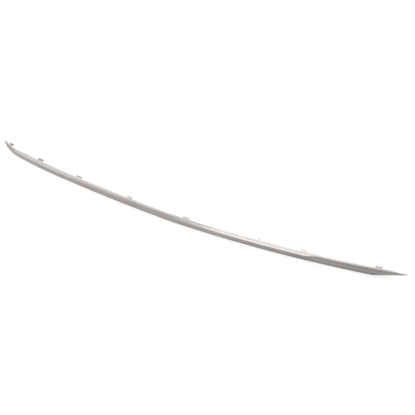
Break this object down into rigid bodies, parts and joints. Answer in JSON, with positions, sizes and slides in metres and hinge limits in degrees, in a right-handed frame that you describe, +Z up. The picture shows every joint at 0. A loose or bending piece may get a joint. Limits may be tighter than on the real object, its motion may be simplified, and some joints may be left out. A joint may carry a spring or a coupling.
{
  "type": "bumper trim strip",
  "caption": "Half-width bumper trim strip: a slim curved open-backed channel with a bevelled upper edge, a pointed mitred end, a hooked nose end, and rear snap tabs with a locating pin.",
  "frame": {"origin": "centre of the footprint's bounding box, on the surface that the strip stands on", "axes": "+X along the strip from the hooked nose to the pointed blade, parallel to the line between the two tips; +Y to the hidden rear side; +Z up"},
  "size_m": [0.8852, 0.0654, 0.0149],
  "materials": {
    "plated_plastic": "satin"
  },
  "bodies": {
    "root": {"trim_strip": "plated_plastic"}
  },
  "joints": []
}
